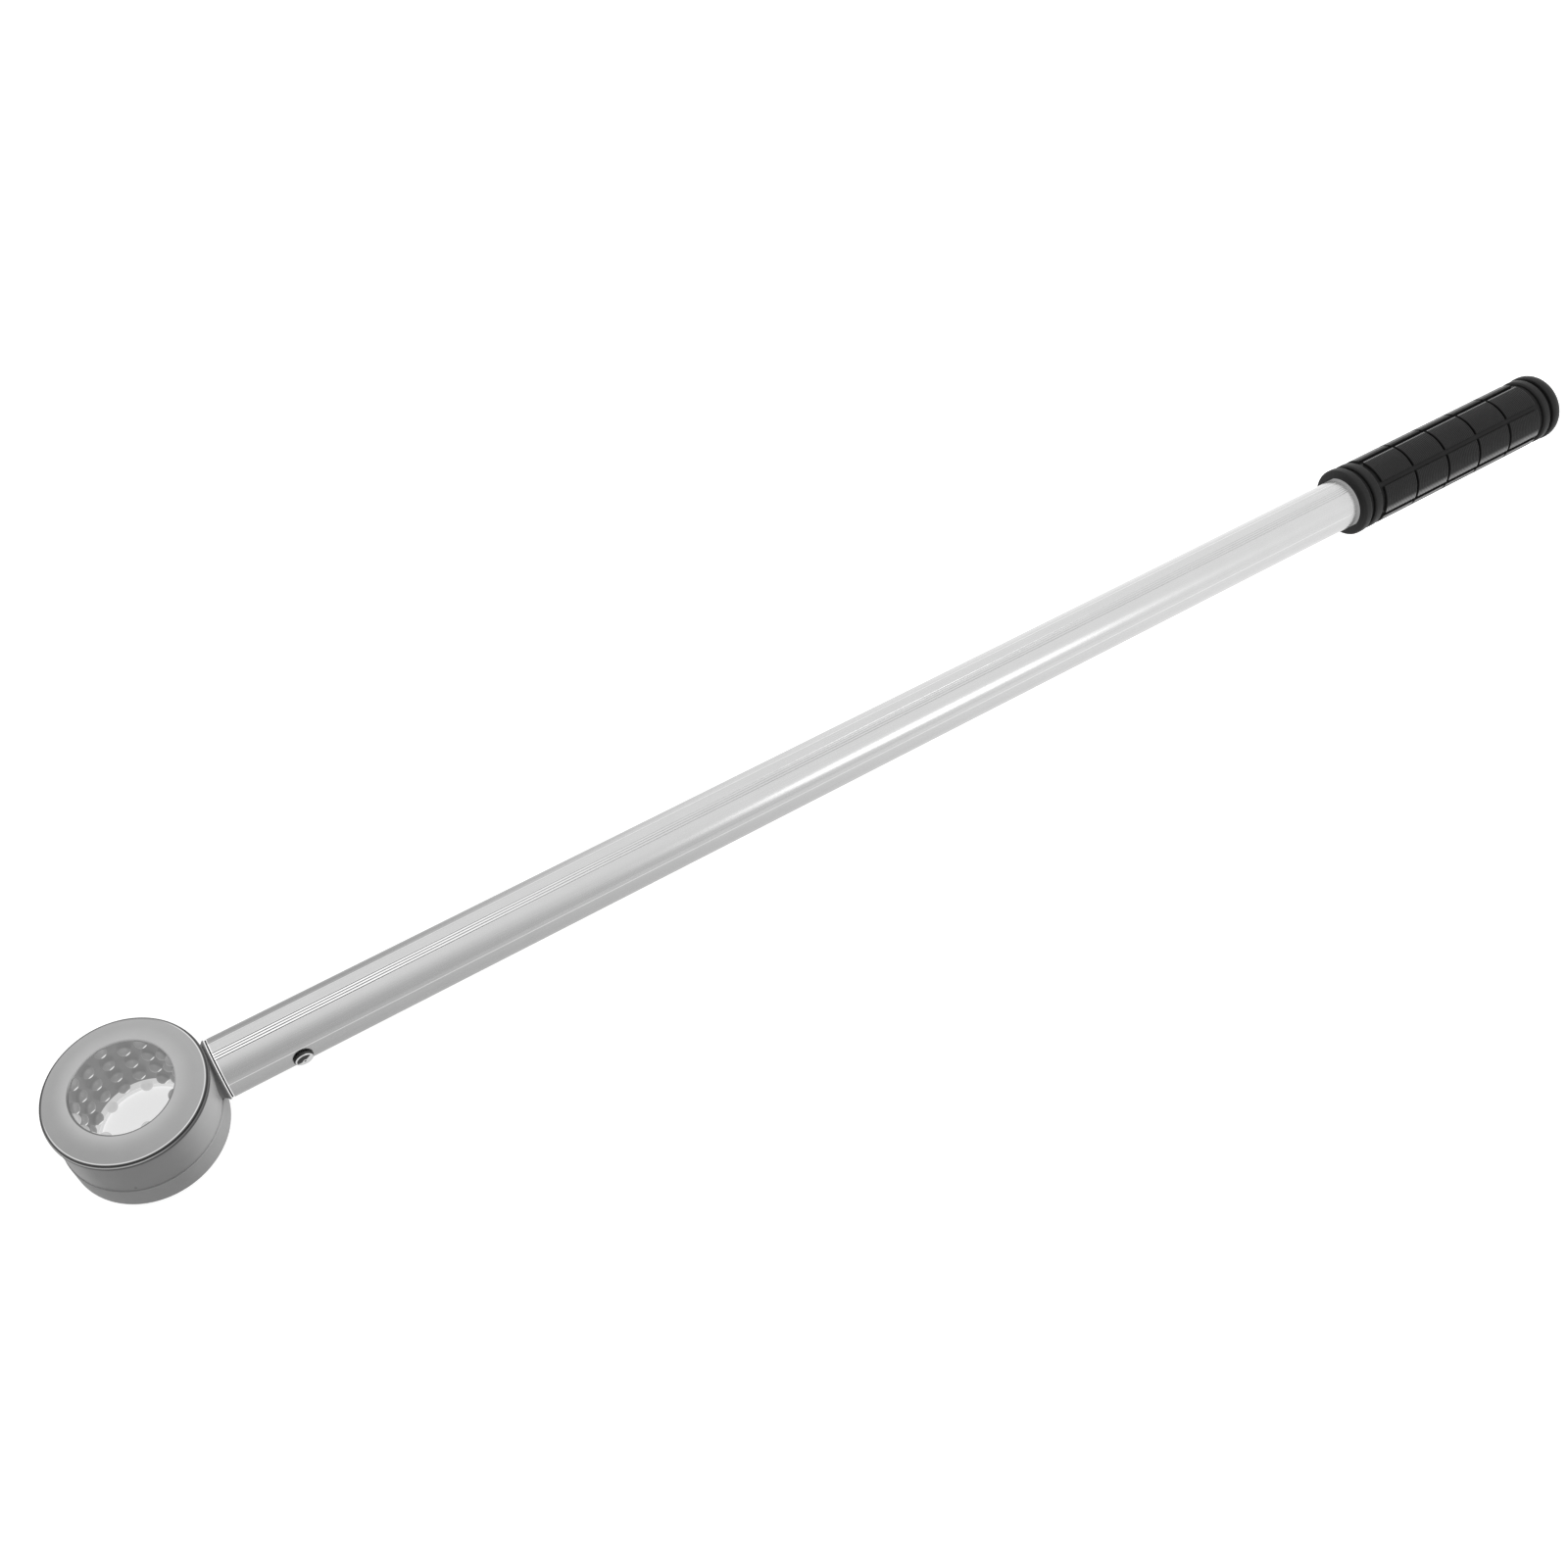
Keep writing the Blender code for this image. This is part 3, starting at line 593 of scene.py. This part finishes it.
screw_low, screw_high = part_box("neck_screw")
seat = Vector(((screw_low.x + screw_high.x) / 2, -SEAT_RADIUS * MM, HEAD.z))
bpy.ops.object.select_all(action="DESELECT")
screw.select_set(True)
bpy.context.view_layer.objects.active = screw
screw.location = seat
screw.rotation_euler = (pi / 2, radians(20), 0)
bpy.ops.object.transform_apply(location=True, rotation=True, scale=True)

plated, shader = new_finish("bright_plating", 0.1, Metallic=1.0)
x, y, z, local = centred(shader, seat)
clouds, grain = frost(local, fine=2.0)
out = distance(x, z)
dome = out.math("SQRT", 1 - out * out * (1 / HEAD_RADIUS ** 2)) * (HEAD_RISE - HEAD_RIM) + HEAD_RIM
# Painted shade darkens the cross recess, a painted dark reflection crosses the dome on its upper
# side, and a painted shade line runs round the rim there.
in_recess = (1 - (y * -1 - dome).above(-0.12, 0.04)) * (1 - out.above(2.7, 0.05))
upward = 0.9 * z - 0.4 * x
dark_reflection_band = upward.above(0.5, 0.4) * out.above(1.1, 0.2) * (1 - out.above(3.5, 0.15))
rim_shade_line = out.above(4.05, 0.1) * upward.above(-2.5, 1.5)
tone = (0.74 + 0.04 * clouds + 0.02 * grain) * (1 - 0.96 * in_recess)
tone = tone * (1 - 0.92 * dark_reflection_band) * (1 - 0.95 * rim_shade_line)
paint(shader, tone, 0.1 + 0.03 * grain, grain * 0.03)
fit(screw, plated, "neck_screw", crease=25)


# --- End plug ----------------------------------------------------------------------------------
# A plain plug moulded in dull plastic and pressed into the pole's cut end, where the grip hides it.
# It keeps water out of the pole.

plug_plastic, shader = new_finish("dull_plug_plastic", 0.6)
plug_low, plug_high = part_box("pole_end_plug")
local = centred(shader, (plug_low + plug_high) / 2)[-1]
clouds, grain = frost(local)
paint(shader, 0.05 + 0.01 * clouds + 0.006 * grain, 0.6 + 0.06 * grain, grain * 0.15)
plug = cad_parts["pole_end_plug"]
plug.data.materials.clear()
plug.data.materials.append(plug_plastic)


# --- Rubber grip -------------------------------------------------------------------------------
# A black rubber sleeve, closed at its end. Between its flanges and rings stand rows of raised pads,
# five along and six round, each with fine ribs across it.

GRIP_FLOOR = 17.0


def band(start, end, radius, edge):
    """Outline of a raised band with rolled edges."""
    rolled = arc(radius - edge, start + edge, edge, -90, 0, 5)
    fallen = arc(radius - edge, end - edge, edge, 0, 90, 5)
    return [(GRIP_FLOOR, start)] + rolled + fallen + [(GRIP_FLOOR, end)]


body = [(0, 841.8), (14.45, 841.8), (14.45, 691)]
body += band(691, 696.5, 19.0, 1.5)[1:]
body += band(699, 704.5, 18.7, 1.2)
body += band(829.3, 834.6, 18.6, 1.4)
body += [(GRIP_FLOOR, 836.3), (17.7, 836.3), (18.5, 836.6), (18.9, 837.4)]
body += arc(12.9, 839, 6.0, 0, 90, 10) + [(0, 845)]
grip = turn("ribbed_grip", body, HEAD, axis="X", steps=144, closed=False)

PAD_PITCH, PAD_LENGTH, PAD_ARC, RIBS = 23.9, 22.3, 50.5, 19
FIRST_PAD, PAD_EDGE = 707.4, -20.4
rib = PAD_LENGTH / RIBS
profile = [(18.3, 0.0)]
for step in range(RIBS):
    profile += [(18.6, rib * (step + 0.35)), (18.6, rib * (step + 0.65)), (18.4, rib * (step + 1))]
bpy.ops.object.select_all(action="DESELECT")
bpy.ops.mesh.primitive_plane_add(size=MM, location=(0, 0, 0))
pad = bpy.context.object
bpy.ops.object.mode_set(mode="EDIT")
bpy.ops.mesh.merge(type="CENTER")
points = [Vector((height, 0, radius)) * MM for radius, height in profile]
bpy.ops.transform.translate(value=points[0])
for start, end in zip(points, points[1:]):
    bpy.ops.mesh.extrude_region_move(TRANSFORM_OT_translate={"value": end - start})
bpy.ops.mesh.select_all(action="SELECT")
bpy.ops.mesh.spin(steps=12, angle=-radians(PAD_ARC), center=(0, 0, 0), axis=(1, 0, 0))
bpy.ops.mesh.select_all(action="SELECT")
bpy.ops.mesh.extrude_region_move(TRANSFORM_OT_translate={"value": (0, 0, 0)})
bpy.ops.transform.resize(value=(1, 0.89, 0.89), center_override=(0, 0, 0))
bpy.ops.mesh.select_all(action="SELECT")
bpy.ops.mesh.normals_make_consistent(inside=False)
bpy.ops.object.mode_set(mode="OBJECT")

pads = []
for row in range(5):
    for column in range(6):
        copy = pad.copy()
        copy.data = pad.data.copy()
        bpy.context.scene.collection.objects.link(copy)
        copy.location = HEAD + Vector((FIRST_PAD + PAD_PITCH * row, 0, 0)) * MM
        copy.rotation_euler = (radians(PAD_EDGE + 60 * column), 0, 0)
        pads.append(copy)
bpy.data.objects.remove(pad)
bpy.ops.object.select_all(action="DESELECT")
for copy in pads:
    copy.select_set(True)
bpy.context.view_layer.objects.active = pads[0]
bpy.ops.object.join()
bpy.ops.object.transform_apply(location=True, rotation=True, scale=True)
carve(grip, bpy.context.object, "UNION")

rubber, shader = new_finish("black_grip_rubber", 0.5, Specular_IOR_Level=0.16)
x, y, z, local = centred(shader, HEAD)
clouds, grain = frost(local, fine=2.0)
reach = distance(y, z)
proud = reach.above(17.5, 0.3)
turned_to = y.math("ARCTAN2", y * -1, z) * (180 / pi)
in_pads = x.above(707.3, 0.1) * (1 - x.above(825.5, 0.1)) * proud
on_rib = reach.above(18.5, 0.06)
# Painted highlights: glints on the rib crests along the pads' upper border, and in a low and a high
# band round the grip.
upper_border = turned_to.above(-21, 0.4) * (1 - turned_to.above(-18, 0.6))
low_light = turned_to.above(81, 6) * (1 - turned_to.above(108, 4))
high_light = turned_to.above(-62, 4) * (1 - turned_to.above(-38, 4))
rib_glints = 0.25 * upper_border + 0.25 * low_light + 0.2 * high_light
tone = 0.007 + 0.003 * proud + 0.002 * clouds + 0.002 * grain + in_pads * on_rib * rib_glints
paint(shader, tone, 0.5 + 0.08 * grain, grain * 0.2)
fit(grip, rubber, "rubber_grip", crease=40)
